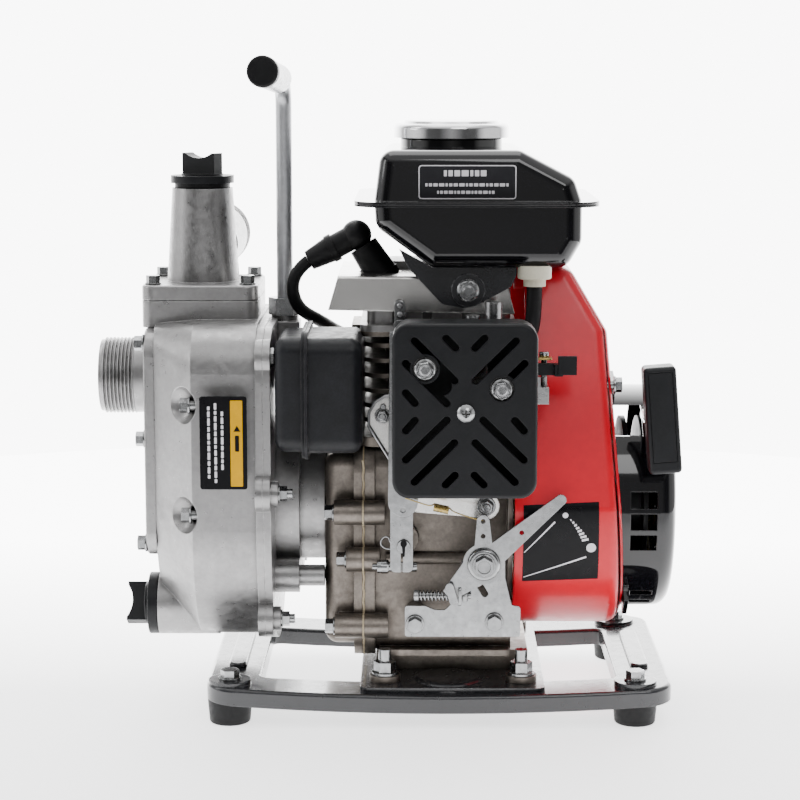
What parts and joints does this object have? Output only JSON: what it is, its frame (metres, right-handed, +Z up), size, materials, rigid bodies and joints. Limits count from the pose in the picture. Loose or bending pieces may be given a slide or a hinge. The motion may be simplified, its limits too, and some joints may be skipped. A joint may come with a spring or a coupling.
{
  "type": "portable fire pump",
  "caption": "Portable engine-driven water pump on a black frame: cast pump with male pipe ports, small petrol engine with fuel tank, air cleaner, recoil starter and carrying handle.",
  "frame": {"origin": "middle of the machine's footprint on the ground", "axes": "+Z up; +X from the pump to the recoil starter, along the crankshaft; -Y is the side with the air cleaner and throttle"},
  "size_m": [0.356, 0.2312, 0.402],
  "materials": {
    "cast_pump": "satin sand cast",
    "cast_engine": "satin die cast",
    "machined": "machined",
    "sheet_bright": "bright",
    "zinc": "zinc plated",
    "steel": "ground",
    "muffler_black": "matte",
    "tank_black": "gloss",
    "frame_black": "gloss",
    "shroud_red": "semi-gloss",
    "plastic_black": "satin",
    "rubber_black": "matte",
    "cap_chrome": "polished",
    "nylon_cream": "satin",
    "gasket": "matte",
    "iron": "cast",
    "spring_brass": "satin",
    "nylon_yellow": "satin"
  },
  "bodies": {
    "machine": {"base_frame": "frame_black", "engine_plate": "frame_black", "rubber_feet": "rubber_black", "frame_bolts": "zinc", "pump_casing": "cast_pump", "suction_cover": "cast_pump", "volute_case": "iron", "shaft_seal": "rubber_black", "pump_bracket": "cast_pump", "discharge_neck": "cast_pump", "pump_bolts": "zinc", "handle_rod": "zinc", "handle_locknut": "zinc", "handle_grip": "steel", "handle_end_cap": "rubber_black", "crankcase": "cast_engine", "crankcase_cover": "cast_engine", "crankcase_gasket": "gasket", "crankcase_bolts": "zinc", "main_bearings": "steel", "cylinder_barrel": "cast_engine", "cylinder_head": "cast_pump", "head_shroud": "sheet_bright", "spark_plug": "steel", "spark_plug_cap": "rubber_black", "ht_lead": "rubber_black", "ignition_coil": "plastic_black", "fan_shroud": "shroud_red", "recoil_housing": "tank_black", "tank_upper": "tank_black", "tank_lower": "tank_black", "tank_bracket": "frame_black", "fuel_outlet": "nylon_cream", "fuel_hose": "rubber_black", "carburettor": "machined", "air_cleaner_case": "plastic_black", "air_cleaner_cover": "plastic_black", "muffler_left_shell": "muffler_black", "muffler_right_shell": "muffler_black", "throttle_bracket": "zinc", "engine_bolts": "zinc"},
    "crank": {"crankshaft": "steel", "flywheel": "nylon_yellow", "starter_cup": "steel", "impeller": "iron"},
    "piston": {"piston": "machined"},
    "throttle": {"throttle_lever": "zinc"},
    "governor": {"governor_lever": "zinc", "governor_rod": "zinc", "governor_spring": "spring_brass"},
    "carb_throttle": {"carb_throttle_arm": "zinc"},
    "choke": {"choke_lever": "plastic_black"},
    "grip": {"starter_grip": "plastic_black"},
    "pulley": {"starter_pulley": "plastic_black"},
    "cap_seal": {"fuel_cap_seal": "rubber_black"},
    "fuel_cap": {"fuel_cap": "cap_chrome"},
    "plug_ring": {"priming_plug_ring": "rubber_black"},
    "priming_plug": {"priming_plug": "plastic_black"},
    "drain_plug": {"drain_plug": "plastic_black"},
    "check_valve": {"check_valve_flap": "rubber_black"}
  },
  "joints": [
    {"name": "crank_spin", "type": "hinge", "parent": "machine", "child": "crank", "pos_m": [0.0336, 0.0156, 0.127], "axis": [1, 0, 0], "continuous": true},
    {"name": "piston_stroke", "type": "slide", "parent": "machine", "child": "piston", "axis": [0, 0, 1], "range_m": [-0.019, 0.019]},
    {"name": "throttle_turn", "type": "hinge", "parent": "machine", "child": "throttle", "pos_m": [0.0605, -0.076, 0.1023], "axis": [0, 1, 0], "range_deg": [0, 38]},
    {"name": "governor_turn", "type": "hinge", "parent": "machine", "child": "governor", "pos_m": [0.0126, -0.0624, 0.11], "axis": [0, 1, 0], "range_deg": [-3.1, 3.1]},
    {"name": "carb_throttle_turn", "type": "hinge", "parent": "machine", "child": "carb_throttle", "pos_m": [0.0536, -0.0544, 0.247], "axis": [0, 0, 1], "range_deg": [-38, 38]},
    {"name": "choke_turn", "type": "hinge", "parent": "machine", "child": "choke", "pos_m": [0.0816, -0.0644, 0.218], "axis": [0, 0, 1], "range_deg": [0, 45]},
    {"name": "starter_pull", "type": "slide", "parent": "machine", "child": "grip", "axis": [0, -1, 0], "range_m": [0, 0.6]},
    {"name": "pulley_turn", "type": "hinge", "parent": "machine", "child": "pulley", "pos_m": [0.1556, 0.0156, 0.127], "axis": [1, 0, 0], "continuous": true},
    {"name": "fuel_cap_lift", "type": "slide", "parent": "machine", "child": "cap_seal", "axis": [0, 0, 1], "range_m": [0, 0.05]},
    {"name": "fuel_cap_turn", "type": "hinge", "parent": "cap_seal", "child": "fuel_cap", "pos_m": [0.0416, 0.0156, 0.356], "axis": [0, 0, 1], "range_deg": [0, 90]},
    {"name": "priming_plug_lift", "type": "slide", "parent": "machine", "child": "plug_ring", "axis": [0, 0, 1], "range_m": [0, 0.045]},
    {"name": "priming_plug_turn", "type": "hinge", "parent": "plug_ring", "child": "priming_plug", "pos_m": [-0.1134, 0.0156, 0.326], "axis": [0, 0, 1], "continuous": true},
    {"name": "drain_plug_turn", "type": "hinge", "parent": "machine", "child": "drain_plug", "pos_m": [-0.1444, -0.0044, 0.0605], "axis": [-1, 0, 0], "continuous": true},
    {"name": "check_valve_swing", "type": "hinge", "parent": "machine", "child": "check_valve", "pos_m": [-0.1278, 0.0156, 0.2249], "axis": [0, 1, 0], "range_deg": [-50, 0]}
  ],
  "couplings": [
    {"joint": "governor_turn", "follows": "carb_throttle_turn", "ratio": 0.0806},
    {"joint": "pulley_turn", "follows": "starter_pull", "rad_per_m": 23.256}
  ]
}
